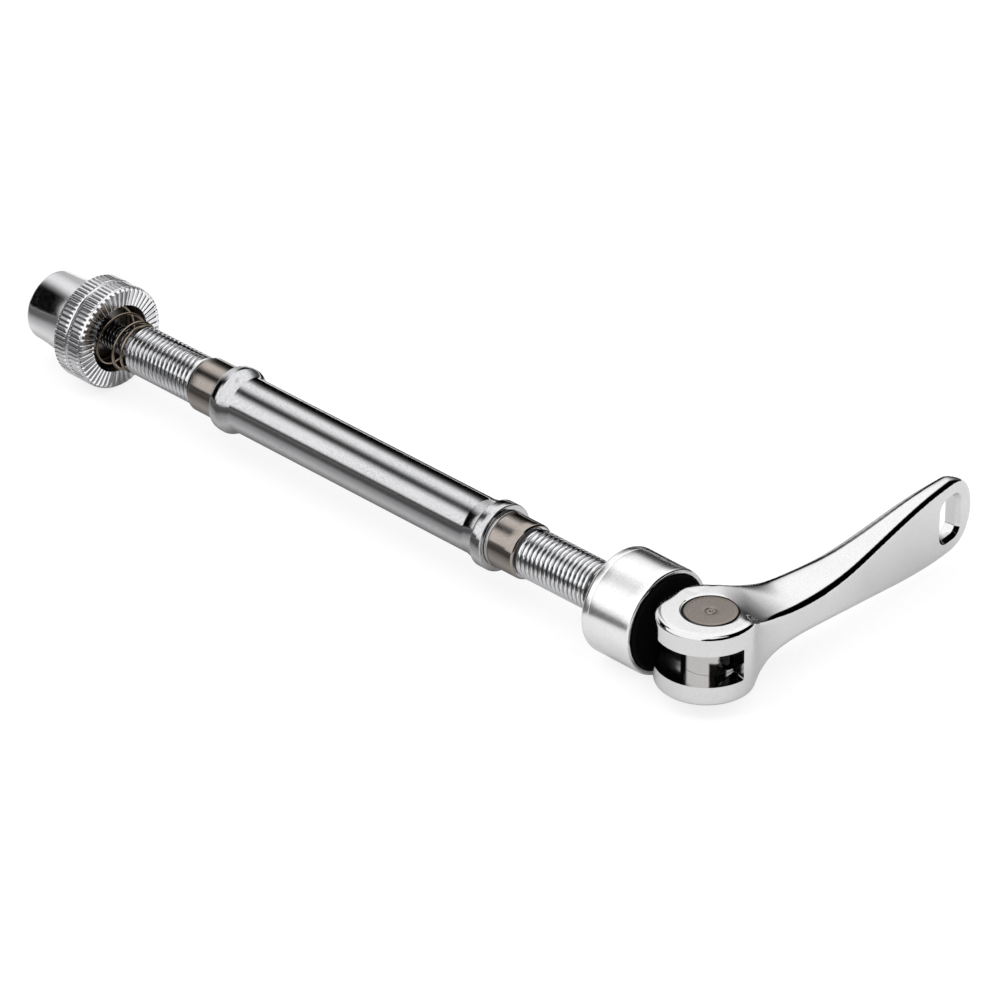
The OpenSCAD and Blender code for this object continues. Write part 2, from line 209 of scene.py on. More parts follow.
def new_material(name: str) -> tuple[bpy.types.Material, Nodes]:
    """Makes a material without nodes.

    Args:
        name: The material's name.

    Returns:
        The material and its empty node tree.
    """
    material = bpy.data.materials.new(name)
    return material, Nodes(material)


@dataclass(frozen=True)
class Metal:
    """A bare or plated metal, with the marks that its making left.

    The marks are finer than a pixel on the real piece, so they are drawn a few times coarser.
    """

    name: str
    colour: str
    roughness: float
    lay: Lay = Lay.NONE
    mark_mm: float = 0.3
    mark_height_mm: float = 0.002
    grain_mm: float = 0.25
    grain_height_mm: float = 0.001
    streak: float = 0.15
    stain: float = 0.1
    speckle: float = 0.0
    # The radii of the root and the crest of a thread or knurl: painted shade darkens the metal from the
    # crest down to the root
    root_mm: Point = (0.0, 0.0)
    pin_x_mm: float = 81.2
    cloud_mm: float = 9.0
    stretch: float = 0.04
    # How dark the painted shade at the very root is, as a share of the metal's colour
    oil: float = 0.03

    def build(self) -> bpy.types.Material:
        """Makes the node material.

        Returns:
            The material.
        """
        material, nodes = new_material(self.name)
        place = nodes.place()
        marks = self._marks(nodes, place)
        grain = nodes.noise(place, 1 / (self.grain_mm * MM), 3.0, Roughness=0.6)
        cloud = nodes.noise(place, 1 / (self.cloud_mm * MM))
        low, high = self.roughness * (1 - self.streak), self.roughness * (1 + self.streak)
        rough = nodes.remap(nodes.math("ADD", marks, grain), (0.6, 1.4), (low, high))
        base = linear(self.colour)
        dark = tuple(c * (1 - self.stain) for c in base[:3]) + (1.0,)
        tint = nodes.mix(nodes.ramp(cloud, [(0.35, 0.0), (0.65, 1.0)]), base, dark)
        tone = nodes.multiply(tint, self._pits_and_root_shade(nodes, place, grain))
        bump = nodes.bump(marks, self.mark_height_mm)
        bump = nodes.bump(grain, self.grain_height_mm, Normal=bump)
        inputs = {"Base Color": tone, "Metallic": 1.0, "Roughness": rough, "Normal": bump}
        nodes.surface("BsdfPrincipled", inputs)
        return material

    def _pits_and_root_shade(self, nodes: Nodes, place: Socket, grain: Socket) -> Socket:
        """Makes the small dark pits of the grain, and the painted shade that darkens the roots of a thread
        or knurl.

        Args:
            nodes: The material's nodes.
            place: The piece's own coordinates.
            grain: The fine grain's value.

        Returns:
            A grey that darkens the metal's colour.
        """
        stops = [(0.36, 1 - self.speckle), (0.5, 1 - self.speckle / 3), (0.62, 1.0)]
        pits = nodes.ramp(grain, stops)
        root, crest = self.root_mm
        if crest <= 0:
            return pits
        # Painted shade in the roots, fading out towards the crest
        radius = nodes.radius(place, (0.0, 1.0, 1.0))
        return nodes.multiply(pits, nodes.remap(radius, (root * MM, crest * MM), (self.oil, 1.0)))

    def _marks(self, nodes: Nodes, place: Socket) -> Socket:
        """Makes the value that follows the tool marks.

        Args:
            nodes: The material's nodes.
            place: The piece's own coordinates.

        Returns:
            A value from 0 to 1.
        """
        fine = 1 / (self.mark_mm * MM)
        if self.lay is Lay.RINGS:
            scale = (fine, self.stretch * fine, self.stretch * fine)
            drawn = nodes.add("Mapping", {"Vector": place, "Scale": scale})
            return nodes.noise(drawn.outputs[0], 1.0)
        if self.lay is Lay.FACING:
            moved = nodes.add("Mapping", {"Vector": place, "Location": (-self.pin_x_mm * MM, 0, 0)})
            radius = nodes.radius(moved.outputs[0], (1.0, 1.0, 0.0))
            inputs = {"W": radius, "Scale": fine, "Detail": 2.0}
            return nodes.add("TexNoise", inputs, noise_dimensions="1D").outputs["Fac"]
        return nodes.noise(place, fine)


@dataclass(frozen=True)
class Plastic:
    """A moulded plastic with a fine spark-eroded grain."""

    name: str
    colour: str
    roughness: float
    grain_mm: float = 0.2
    grain_height_mm: float = 0.004
    shine: float = 0.5

    def build(self) -> bpy.types.Material:
        """Makes the node material.

        Returns:
            The material.
        """
        material, nodes = new_material(self.name)
        grain = nodes.noise(nodes.place(), 1 / (self.grain_mm * MM), 4.0)
        base = linear(self.colour)
        pale = tuple(min(1.0, c * 1.25 + 0.002) for c in base[:3]) + (1.0,)
        tint = nodes.mix(grain, base, pale)
        bump = nodes.bump(grain, self.grain_height_mm, 0.6)
        inputs = {"Base Color": tint, "Roughness": self.roughness, "Normal": bump}
        nodes.surface("BsdfPrincipled", {**inputs, "Specular IOR Level": self.shine})
        return material


# Medium carbon steel bar, centreless ground: satin, with bright grit marks
GROUND_BAR = Metal(
    "ground steel bar", "dadadc", 0.105, Lay.RINGS, 0.35, 0.0015, 0.15, 0.0015, 0.25, 0.04, 0.42
)
# The bearing seats are ground finer and left unplated, so they are darker and warmer
GROUND_SEAT = Metal(
    "ground bearing seat", "aaa29b", 0.12, Lay.RINGS, 0.3, 0.0012, 0.3, 0.001, 0.2, 0.1, 0.14
)
# Rolled thread under bright zinc, with painted shade darkening its roots
PLATED_THREAD = Metal(
    "bright zinc plated thread", "e8e8ea", 0.09, Lay.RINGS, 0.5, 0.0012, 0.3, 0.001, 0.2, 0.05, 0.1,
    (3.98, 4.3),
)
# Cold drawn rod, brighter than the seats, with painted shade darkening the roots of its thread
DRAWN_ROD = Metal(
    "drawn steel rod", "a9a8aa", 0.2, Lay.NONE, 0.6, 0.001, 0.25, 0.001, 0.2, 0.1, 0.1, (2.08, 2.26)
)
# Turned pin: its ends show the facing tool's rings
TURNED_PIN = Metal(
    "faced steel pin", "989089", 0.3, Lay.FACING, 0.28, 0.004, 0.35, 0.001, 0.2, 0.12, 0.18
)
# The pin's side turns in the lever, so it is polished
POLISHED_PIN = Metal("polished pin side", "c4c2c0", 0.1, Lay.NONE, 0.6, 0.001, 0.3, 0.0006, 0.2, 0.06)
# A thin dark ring round the pin's end: painted shade of the gap between the pin and the lever's hole
PAINTED_GAP_SHADE = Metal("painted_shade pin edge", "4c4844", 0.3, Lay.RINGS, 0.3, 0.002, 0.3, 0.001, 0.2, 0.2, 0.3)
# Chrome over a polished casting: a clear mirror with a slight ripple
POLISHED_CHROME = Metal(
    "polished chrome plate", "e2e2e2", 0.09, Lay.NONE, 3.0, 0.002, 0.3, 0.0004, 0.2, 0.03, 0.08
)
# Turned and tumbled aluminium: a broad soft shine with fine rings
TURNED_ALUMINIUM = Metal(
    "turned aluminium", "f4f4f4", 0.2, Lay.RINGS, 0.4, 0.0015, 0.4, 0.001, 0.15, 0.03, 0.09
)
# Chrome over the turned cone of the nut
TURNED_CHROME = Metal(
    "chromed cone", "e0e0e2", 0.12, Lay.NONE, 1.2, 0.001, 0.3, 0.0008, 0.2, 0.05, 0.06
)
# Chrome over the knurl, with painted shade darkening its roots
KNURLED_CHROME = Metal(
    "chromed knurl", "ececee", 0.13, Lay.NONE, 1.2, 0.001, 0.3, 0.0008, 0.2, 0.05, 0.06, (9.28, 9.4)
)
# Chrome over the gripping teeth
TOOTHED_CHROME = Metal(
    "chromed face teeth", "ececee", 0.12, Lay.NONE, 1.2, 0.001, 0.3, 0.0008, 0.2, 0.05, 0.1
)
# The nut's recess and bore: duller unplated steel, darkened further by painted shade
SHADED_UNPLATED_BORE = Metal("shaded_unplated bore", "8a8580", 0.3, Lay.RINGS, 0.3, 0.002, 0.3, 0.001, 0.2, 0.15, 0.2)
# Hard drawn wire, dull and slightly brown from its oil temper
SPRING_WIRE = Metal(
    "oil tempered spring wire", "a39585", 0.22, Lay.NONE, 0.4, 0.001, 0.3, 0.001, 0.2, 0.2
)
# Black acetal washer, moulded matt
BLACK_ACETAL = Plastic("black moulded acetal", "020202", 0.8, shine=0.04)
# Natural nylon ring
NATURAL_NYLON = Plastic("natural nylon", "dcdacf", 0.45)

# How bright the tent's strips are at each angle, from behind over the top to the front
AXLE_STRIP = [(20, 0.0), (28, 0.01), (35, 0.045), (46, 0.27), (57, 0.76), (66, 0.96), (78, 0.92)]
AXLE_STRIP += [(86, 0.8), (93, 0.5), (101, 0.14), (109, 0.02), (117, 0.13), (125, 0.54), (134, 0.9)]
AXLE_STRIP += [(145, 0.99), (160, 0.96), (169, 0.88), (173, 0.4), (177, 0.07), (180, 0.05)]
NUT_STRIP = [(0, 0.42), (25, 0.46), (38, 0.66), (50, 0.78), (65, 0.78), (78, 0.58), (90, 0.24)]
NUT_STRIP += [(100, 0.06), (108, 0.0), (172, 0.0), (180, 0.03)]
CUP_STRIP = [(14, 0.0), (25, 0.08), (35, 0.66), (45, 0.95), (85, 0.95), (95, 0.78), (110, 0.78)]
CUP_STRIP += [(122, 0.95), (168, 0.92), (180, 0.7)]
LEVER_STRIP = [(0, 0.02), (18, 0.12), (26, 0.34), (33, 0.58), (40, 0.87), (46, 0.95), (168, 0.92)]
LEVER_STRIP += [(180, 0.6)]


def select_only(*pieces: Piece) -> None:
    """Selects these pieces alone, with the first one active."""
    bpy.ops.object.select_all(action="DESELECT")
    for piece in pieces:
        piece.select_set(True)
    bpy.context.view_layer.objects.active = pieces[0]


def primitive(name: str, kind: str, **settings: object) -> Piece:
    """Adds one of Blender's own meshes.

    Args:
        name: The new object's name.
        kind: What to add, such as "circle".
        settings: Its size, place and number of corners.

    Returns:
        The new object.
    """
    bpy.ops.object.select_all(action="DESELECT")
    getattr(bpy.ops.mesh, f"primitive_{kind}_add")(**settings)
    piece = bpy.context.active_object
    piece.name = piece.data.name = name
    return piece


def apply_modifier(piece: Piece, kind: str, **settings: object) -> None:
    """Adds a modifier to a piece and applies it.

    Args:
        piece: The mesh to change.
        kind: Blender's type of the modifier.
        settings: The modifier's properties.
    """
    modifier = piece.modifiers.new(kind.lower(), kind)
    for key, value in settings.items():
        setattr(modifier, key, value)
    select_only(piece)
    bpy.ops.object.modifier_apply(modifier=modifier.name)


def ring_tube(name: str, rings: int, segments: int, place: Place, bored: bool = False) -> Piece:
    """Extrudes a circle into a tube of rings and shapes each ring by a rule.

    Args:
        name: The piece's name.
        rings: How many rings the tube has.
        segments: Points in each ring.
        place: Gives a point in millimetres from its ring's number and its angle.
        bored: Whether the last ring closes onto the first one. Otherwise both ends are capped.

    Returns:
        The closed mesh object.
    """
    piece = primitive(name, "circle", vertices=segments, radius=1.0, rotation=(0, math.pi / 2, 0))
    bpy.ops.object.transform_apply(location=True, rotation=True, scale=True)
    bpy.ops.object.mode_set(mode="EDIT")
    for _ in range(rings - 1):
        bpy.ops.mesh.extrude_edges_move(TRANSFORM_OT_translate={"value": (1.0, 0.0, 0.0)})
    bpy.ops.object.mode_set(mode="OBJECT")
    for vertex in piece.data.vertices:
        ring = round(vertex.co.x)
        angle = math.atan2(vertex.co.z, vertex.co.y)
        vertex.co = Vector(place(ring, angle)) * MM
    bpy.ops.object.mode_set(mode="EDIT")
    bpy.ops.mesh.select_all(action="SELECT")
    if bored:
        bpy.ops.mesh.remove_doubles(threshold=1e-7)
    else:
        bpy.ops.mesh.select_all(action="DESELECT")
        bpy.ops.mesh.select_non_manifold()
        bpy.ops.mesh.fill_holes(sides=0)
        bpy.ops.mesh.select_all(action="SELECT")
    bpy.ops.mesh.normals_make_consistent(inside=False)
    bpy.ops.object.mode_set(mode="OBJECT")
    return piece


def rounded(corners: Sequence[Spot], steps: int = 3) -> list[Point]:
    """Rounds the corners of an open profile.

    Args:
        corners: Points of (x, radius, rounding), with 0 for a sharp corner.
        steps: Straight pieces in each rounding.

    Returns:
        The profile's points.
    """
    out: list[Point] = []
    last = len(corners) - 1
    for i, (x, r, cut) in enumerate(corners):
        if cut <= 0 or i in (0, last):
            out.append((x, r))
            continue
        here = Vector((x, r))
        before = Vector(corners[i - 1][:2]) - here
        after = Vector(corners[i + 1][:2]) - here
        start = here + before.normalized() * min(cut, before.length / 2)
        end = here + after.normalized() * min(cut, after.length / 2)
        for k in range(steps + 1):
            t = k / steps
            p = start * (1 - t) ** 2 + here * 2 * t * (1 - t) + end * t**2
            out.append((p.x, p.y))
    return out


def filled(profile: Sequence[Point], longest: float) -> list[Point]:
    """Splits the long stretches of a profile, so that its faces stay even.

    Args:
        profile: Points of (x, radius).
        longest: The longest stretch that may stay.

    Returns:
        The finer profile.
    """
    out = [profile[0]]
    for (x0, r0), (x1, r1) in zip(profile, profile[1:]):
        parts = max(1, math.ceil(math.hypot(x1 - x0, r1 - r0) / longest))
        out += [(x0 + (x1 - x0) * k / parts, r0 + (r1 - r0) * k / parts) for k in range(1, parts + 1)]
    return out


def turned(x: float, r: float, angle: float) -> Spot:
    """A point at a radius and an angle round the X axis."""
    return x, r * math.cos(angle), r * math.sin(angle)


def ease(t: float) -> float:
    """0 before 0, 1 after 1, and a smooth rise between."""
    t = min(1.0, max(0.0, t))
    return t * t * (3 - 2 * t)


def ripple(turns: float) -> float:
    """Rises from 0 at the middle of each turn to 1 at its ends."""
    return abs((turns % 1.0) - 0.5) * 2


def thread_depth(turns: float) -> float:
    """The share of a thread's depth at a place along its pitch, flat at crest and root."""
    return min(1.0, max(0.0, (ripple(turns) - THREAD_CREST) / THREAD_FLANK))


def finish(piece: Piece, body: Body, nodes: Sequence[str], slot: str, *metals: Metal) -> None:
    """Gives a piece its shading, materials and body.

    Args:
        piece: The finished mesh.
        body: The body that it rides on.
        nodes: The solids that it stands for.
        slot: Not used.
        metals: The finishes, in the order of its material slots.
    """
    select_only(piece)
    bpy.ops.object.shade_smooth_by_angle(angle=math.radians(SMOOTH_DEG))
    for metal in metals:
        known = bpy.data.materials.get(metal.name)
        piece.data.materials.append(known or metal.build())
    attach(piece, body.value)
    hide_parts(*nodes)
    LOG.info("%s: %d faces on %s", piece.name, len(piece.data.polygons), body.value)


@dataclass
class HollowAxle:
    """The turned axle: thread, relief, bearing seat and shoulder at each end, and a through bore."""

    half_length: float = 57.2
    bore_r: float = 2.8
    body_r: float = 5.1
    seat_r: float = 5.0
    seat_from: float = 33.5
    seat_to: float = 40.0
    shoulder_r: float = 6.1
    thread_r: float = 4.45
    relief_r: float = 4.0
    relief: float = 0.6
    pitch: float = 1.0
    thread_height: float = 0.5
    thread_run: float = 0.9
    end_chamfer: float = 0.8
    bulge_length: float = 4.3
    collar_length: float = 2.4
    cone_length: float = 2.8
    collar_step: float = 0.35
    taper_steps: int = 10
    segments: int = 96
    thread_rings: int = 12

    def profile(self) -> list[Point]:
        """The axle's outline from the left end to the right end and back through the bore.

        Returns:
            Points of (x, radius).
        """
        half, seat, thread_in = self.half_length, self.seat_from, self.seat_to + self.relief
        groove, rise = self.seat_r - 0.12, self.seat_r + 0.14
        root = [(0.66, self.seat_r, 0.0), (0.6, rise, 0.06), (0.24, rise, 0.06)]
        root += [(0.18, groove, 0.05), (0.0, groove, 0.05)]
        end = [(half, self.bore_r + 0.2, 0.1), (half, self.thread_r - self.end_chamfer, 0.1)]
        end += [(half - self.end_chamfer, self.thread_r, 0.1), (thread_in, self.thread_r, 0.1)]
        end += [(thread_in - 0.1, self.relief_r, 0.1), (self.seat_to, self.relief_r, 0.1)]
        end += [(self.seat_to, self.seat_r - 0.3, 0.1), (self.seat_to - 0.3, self.seat_r, 0.15)]
        end += [(seat + x, r, cut) for x, r, cut in root]
        left = [(-x, r, cut) for x, r, cut in end]
        low = self.shoulder_r - 0.2
        left += [(-seat, self.shoulder_r - 0.5, 0.1), (-seat + 0.22, low, 0.1)]
        left += [(-seat + 0.4, low, 0.06), (-seat + 0.46, self.shoulder_r - 0.12, 0.05)]
        left += [(-seat + 1.3, self.shoulder_r, 0.6)]
        flat = -seat + 0.45 * self.bulge_length
        left += [(flat, self.shoulder_r, 0.0)]
        outline = rounded(left, 6)
        run, drop = 0.55 * self.bulge_length, self.shoulder_r - self.body_r
        for k in range(1, self.taper_steps + 1):
            share = k / self.taper_steps
            outline.append((flat + run * k / self.taper_steps, self.shoulder_r - drop * ease(share)))
        collar = seat - self.collar_length
        right = [(outline[-1][0], self.body_r, 0.0), (collar - self.cone_length, self.body_r, 0.5)]
        right += [(collar, self.shoulder_r - self.collar_step, 0.08), (collar, self.shoulder_r, 0.15)]
        right += [(seat, self.shoulder_r, 0.3), *reversed(end), (half - 0.2, self.bore_r, 0.0)]
        right += [(-half + 0.2, self.bore_r, 0.0), (-half, self.bore_r + 0.2, 0.0)]
        return outline + rounded(right, 3)[1:]

    def build(self) -> None:
        """Makes the axle and gives bar, seats and threads their own finish."""
        step = self.pitch / self.thread_rings
        stations: list[Point] = []
        points = self.profile()
        for before, after in zip(points, points[1:]):
            threaded = abs(before[0]) > self.seat_to and abs(after[0]) > self.seat_to
            outside = before[1] > self.bore_r + 0.5 and before[0] * after[0] > 0
            longest = step if threaded and outside else 2.5
            stations += filled([before, after], longest)[:-1]
        stations.append(points[-1])

        def place(ring: int, angle: float) -> Spot:
            """A point of the axle, with the helical thread cut into its ends."""
            x, r = stations[ring]
            if abs(x) > self.seat_to + self.relief and r > self.bore_r + 0.5:
                fade = ease((abs(x) - self.seat_to - self.relief) / self.thread_run)
                cut = thread_depth(x / self.pitch - angle / TURN) * self.thread_height * fade
                r = min(r, self.thread_r - cut)
            return turned(x, r, angle)

        piece = ring_tube("axle_turned_and_threaded", len(stations), self.segments, place, bored=True)
        metals = (GROUND_BAR, GROUND_SEAT, PLATED_THREAD)
        finish(piece, Body.AXLE, ["hollow_axle"], "ground_steel", *metals)
        for face in piece.data.polygons:
            x = abs(face.center.x) / MM
            r = math.hypot(face.center.y, face.center.z) / MM
            if x > self.seat_to:
                face.material_index = 2
            elif x > self.seat_from + 0.05 and r < self.seat_r + 0.05:
                face.material_index = 1


@dataclass
class Skewer:
    """The rod through the axle and the cross pin that it is fixed into."""

    rod_r: float = 2.5
    rod_from: float = -79.0
    rod_to: float = 85.7
    thread_to: float = -58.5
    pitch: float = 0.8
    thread_height: float = 0.42
    thread_run: float = 0.8
    nut_chamfer: float = 0.5
    lever_chamfer: float = 0.7
    pin_x: float = 81.21
    pin_r: float = 4.85
    pin_half: float = 6.6
    pin_chamfer: float = 0.35
    drill_play: float = 0.02
    segments: int = 64

    def build(self) -> None:
        """Makes the rod and the cross pin."""
        self._rod()
        self._pin()

    def _rod(self) -> None:
        """Makes the rod, with its thread at the nut's end.

        The chamfer at the other end is larger, to clear the lever's bore as the lever swings.
        """
        chamfer, clear = self.nut_chamfer, self.lever_chamfer
        corners = [(self.rod_from, 0.2, 0.0), (self.rod_from, self.rod_r - chamfer, 0.1)]
        corners += [(self.rod_from + chamfer, self.rod_r, 0.1), (self.thread_to, self.rod_r, 0.0)]
        threaded = filled(rounded(corners, 3), self.pitch / 12)
        end = [(self.thread_to, self.rod_r, 0.0), (self.rod_to - clear, self.rod_r, 0.1)]
        end += [(self.rod_to, self.rod_r - clear, 0.1), (self.rod_to, 0.2, 0.0)]
        stations = threaded + filled(rounded(end, 3), 8.0)[1:]

        def place(ring: int, angle: float) -> Spot:
            """A point of the rod, with its helical thread."""
            x, r = stations[ring]
            if x < self.thread_to:
                fade = ease((self.thread_to - x) / self.thread_run)
                cut = thread_depth(x / self.pitch - angle / TURN) * self.thread_height * fade
                r = min(r, self.rod_r - cut)
            return turned(x, r, angle)

        piece = ring_tube("skewer_rod_threaded", len(stations), self.segments, place)
        finish(piece, Body.SKEWER, ["skewer_rod"], "rod_steel", DRAWN_ROD)

    def _pin(self) -> None:
        """Makes the cross pin with its dimpled ends and the hole that the rod goes through."""
        top = self.pin_half
        half = [(top - 0.3, 0.02, 0.0), (top - 0.02, 0.32, 0.05), (top - 0.02, 0.8, 0.05)]
        half += [(top - 0.14, 0.92, 0.04), (top - 0.02, 1.04, 0.05)]
        half += [(top, self.pin_r - self.pin_chamfer, 0.08), (top - self.pin_chamfer, self.pin_r, 0.08)]
        half += [(0.0, self.pin_r, 0.0)]
        side = rounded(half, 3)
        stations = filled(side + [(-z, r) for z, r in reversed(side)][1:], 0.7)

        def place(ring: int, angle: float) -> Spot:
            """A point of the pin, which stands along Z."""
            z, r = stations[ring]
            return self.pin_x + r * math.cos(angle), r * math.sin(angle), z

        piece = ring_tube("cross_pin_turned", len(stations), 96, place)
        drill = ring_tube("drill", 2, 64, self._drill_place)
        apply_modifier(piece, "BOOLEAN", operation="DIFFERENCE", object=drill, solver="EXACT")
        bpy.data.objects.remove(drill)
        metals = (TURNED_PIN, POLISHED_PIN, PAINTED_GAP_SHADE)
        finish(piece, Body.SKEWER, ["cam_pin"], "pin_steel", *metals)
        for face in piece.data.polygons:
            away = math.hypot(face.center.x / MM - self.pin_x, face.center.y / MM)
            if abs(face.center.z) < (top - 0.4) * MM:
                face.material_index = 1
            # The rim of each end takes the painted shade of the gap round the pin
            elif away > self.pin_r - 0.36:
                face.material_index = 2

    def _drill_place(self, ring: int, angle: float) -> Spot:
        """A point of the drill that cuts the rod's hole through the pin."""
        return turned(self.pin_x + (2 * ring - 1) * 8.0, self.rod_r + self.drill_play, angle)


@dataclass(frozen=True)
class Edge:
    """How high one long edge of the lever stands: half heights and places along the lever."""

    neck: float
    blade: float
    rise: float
    fork: Point
    squareness: float


@dataclass
class CamLever:
    """The chromed casting: two eccentric ears, a web, a neck and a blade with a window."""

    pin_x: float = 81.21
    ear_x: float = -0.528
    ear_y: float = -0.459
    ear_r: float = 8.65
    fork_half: float = 6.7
    fork_flat: float = 1.0
    gap_half: float = 2.95
    hole_r: float = 4.9
    hole_chamfer: float = 0.3
    reach: float = 64.0
    face_offset: float = 5.5
    bow_start: float = 18.0
    bow_r: float = 100.0
    lean_deg: float = 8.0
    neck_y: float = 9.0
    neck_fillet: float = 4.0
    neck_thickness: float = 9.3
    tip_thickness: float = 2.3
    tip_run: float = 6.0
    web_deg: float = 14.8
    window_y: float = 57.7
    window_w: float = 5.2
    window_h: float = 7.6
    outer_edge: Edge = Edge(2.9, 6.9, 18.0, (1.6, 18.0), 2.4)
    inner_edge: Edge = Edge(5.6, 8.0, 26.0, (8.7, 19.5), 1.5)
    blade_y: float = 56.0
    fork_curve: float = 2.2
    fork_blend: float = 4.0
    spread: float = 1.6
    spread_from: float = 16.0
    spread_run: float = 12.0
    outer_round: float = 1.0
    outer_drop: float = 0.85
    inner_round: float = 1.9
    inner_extra: float = 1.9
    soft_from: float = 7.0
    soft_run: float = 9.0
    rim_round: float = 0.8
    rim_from: float = 5.6
    rim_run: float = 1.2
    ear_sink: float = 0.3
    ear_pull: float = 0.04
    arm_pull: float = 0.03
    hollow: float = 1.9
    hollow_start: float = 3.0
    hollow_end: float = 11.7
    voxel: float = 0.2
    smoothings: int = 14
    station: float = 0.5
    tip_stations: int = 24
    window_bevel: float = 0.8
    window_corner: float = 1.6

    def outer_x(self, y: float) -> float:
        """The flat outer face's distance from the cross pin: straight, a bend, then straight."""
        d, lean = max(0.0, y - self.bow_start), math.radians(self.lean_deg)
        run = self.bow_r * math.sin(lean)
        if d < run:
            return self.face_offset - (self.bow_r - math.sqrt(self.bow_r**2 - d * d))
        return self.face_offset - self.bow_r * (1 - math.cos(lean)) - (d - run) * math.tan(lean)

    def thickness(self, y: float) -> float:
        """The lever's thickness, from the neck to the thin tip."""
        share = min(1.0, max(0.0, (y - self.neck_y) / (self.reach - self.neck_y)))
        return self.neck_thickness + (self.tip_thickness - self.neck_thickness) * share

    def edge_half(self, y: float, edge: Edge) -> float:
        """Half the lever's height along one edge, from the fork down to the neck and up to the blade.

        Args:
            y: The place along the lever.
            edge: The edge's heights, and how square it ends at the tip.

        Returns:
            Half the height in millimetres.
        """
        t = min(1.0, max(0.0, (y - self.reach + self.tip_run) / self.tip_run))
        low = edge.neck + (edge.blade - edge.neck) * ease((y - edge.rise) / (self.blade_y - edge.rise))
        share = max(0.0, (edge.fork[1] - y) / (edge.fork[1] - edge.fork[0]))
        tip = max(0.0, 1 - t**edge.squareness) ** (1 / edge.squareness)
        return max(0.02, (low + (self.fork_half - edge.neck) * share**self.fork_curve) * tip)

    def limit(self, y: float) -> float:
        """The greatest half height: the fork's, and a little more out along the blade."""
        return self.fork_half + self.spread * ease((y - self.spread_from) / self.spread_run)

    def heights(self, y: float) -> Point:
        """Half heights at the outer face and at the inner side."""
        outer = min(self.limit(y), self.edge_half(y, self.outer_edge))
        return outer, min(self.fork_half + self.inner_extra, self.edge_half(y, self.inner_edge))

    def top(self, x: float, y: float) -> float:
        """The height of the sloping upper face over a place."""
        if y <= self.fork_flat:
            return self.fork_half
        outer, inner = self.heights(y)
        tilt = (outer - inner) / self.thickness(y)
        free = outer + tilt * min(0.0, x - self.outer_x(y))
        blend = ease((y - self.fork_flat) / self.fork_blend)
        free = self.fork_half * (1 - blend) + free * blend
        limit = self.limit(y)
        near = max(0.0, 1.0 - abs(limit - free))
        return min(limit, free) - near * near / 4 * blend

    def inner_x(self, y: float) -> float:
        """The inner side's distance from the cross pin, with the fillet that runs out to the ears."""
        x_in = self.outer_x(self.neck_y) - self.neck_thickness
        cx = x_in - self.neck_fillet
        cy = self.ear_y + math.sqrt((self.ear_r + self.neck_fillet) ** 2 - (cx - self.ear_x) ** 2)
        if y >= cy:
            return self.outer_x(y) - self.thickness(y)
        lowest = cy - self.neck_fillet * (cy - self.ear_y) / (self.ear_r + self.neck_fillet)
        return cx + math.sqrt(self.neck_fillet**2 - (max(y, lowest) - cy) ** 2)

    def face_x(self, y: float) -> float:
        """The outer face, with the soft hollow where it leaves the ears."""
        share = max(0.0, (self.hollow_end - y) / (self.hollow_end - self.hollow_start))
        hollow = self.outer_x(y) + self.hollow * share**2
        if y < self.hollow_start:
            return min(hollow, self.ear_x + math.sqrt(self.ear_r**2 - (y - self.ear_y) ** 2))
        return hollow

    def skin(self, x: float, y: float) -> float:
        """The arm's height over a place, with its crisp outer edge and its soft inner one."""
        outside, inside = self.face_x(y), self.inner_x(y)
        wide, height = outside - inside, self.top(x, y)
        grow = ease((y - self.soft_from) / self.soft_run)
        first = self.rim_round
        rim = first * ease((y - self.rim_from) / self.rim_run)
        for gap, reach, drop in (
            (outside - x, min(self.outer_round, wide * 0.45), self.outer_round * self.outer_drop),
            (x - inside, first + (wide * 0.75 - first) * grow, rim + (self.inner_round - rim) * grow),
        ):
            drop = min(drop, height * 0.45)
            if gap < reach:
                height -= drop * (1 - math.sqrt(max(0.0, 1 - (1 - gap / reach) ** 2)))
        return height

    def section(self, y: float, angle: float) -> Spot:
        """A point of the casting's cross-section: a crisp outer edge and a soft inner one.

        Args:
            y: The section's place along the lever.
            angle: The way round the section, 0 at the middle of the outer face.

        Returns:
            The point in millimetres.
        """
        side = (angle / TURN * 4) % 4
        outside, inside = self.face_x(y), self.inner_x(y)
        wide = outside - inside
        if side < 0.5 or side >= 3.5:
            share, x = 2 * (side if side < 0.5 else side - 4), outside
        elif side < 1.5:
            share, x = 1.0, outside - wide * (1 - math.cos(math.pi * (side - 0.5))) / 2
        elif side < 2.5:
            share, x = 2 * (2 - side), inside
        else:
            share, x = -1.0, inside + wide * (1 - math.cos(math.pi * (side - 2.5))) / 2
        return self.pin_x + x, y, share * self.skin(x, y)

    def build(self) -> None:
        """Makes the lever: a soft casting first, then the crisp cuts that machining leaves."""
        piece = self._blank()
        apply_modifier(piece, "REMESH", mode="VOXEL", voxel_size=self.voxel * MM, adaptivity=0.0)
        apply_modifier(piece, "SMOOTH", factor=0.5, iterations=self.smoothings)
        for cutter in self._cutters():
            apply_modifier(piece, "BOOLEAN", operation="DIFFERENCE", object=cutter, solver="MANIFOLD")
            bpy.data.objects.remove(cutter)
        piece.data.materials.clear()
        finish(piece, Body.LEVER, ["cam_lever"], "lever_chrome", POLISHED_CHROME)

    def _blank(self) -> Piece:
        """Makes the casting's blank: the arm from its sections, and the disc that becomes the ears.

        Returns:
            The blank, two closed forms that run into each other.
        """
        top = self.fork_half
        edge = [(top, 0.3, 0.0), (top, self.ear_r, 1.0), (-top, self.ear_r, 1.0), (-top, 0.3, 0.0)]
        disc = filled(rounded(edge, 6), 0.8)
        body = self.reach - self.tip_run
        stations = [self.station * i for i in range(int(body / self.station))]
        for i in range(self.tip_stations + 1):
            turn = math.pi / 2 * i / self.tip_stations
            stations.append(self.reach - self.tip_run * (1 - math.sin(turn)))

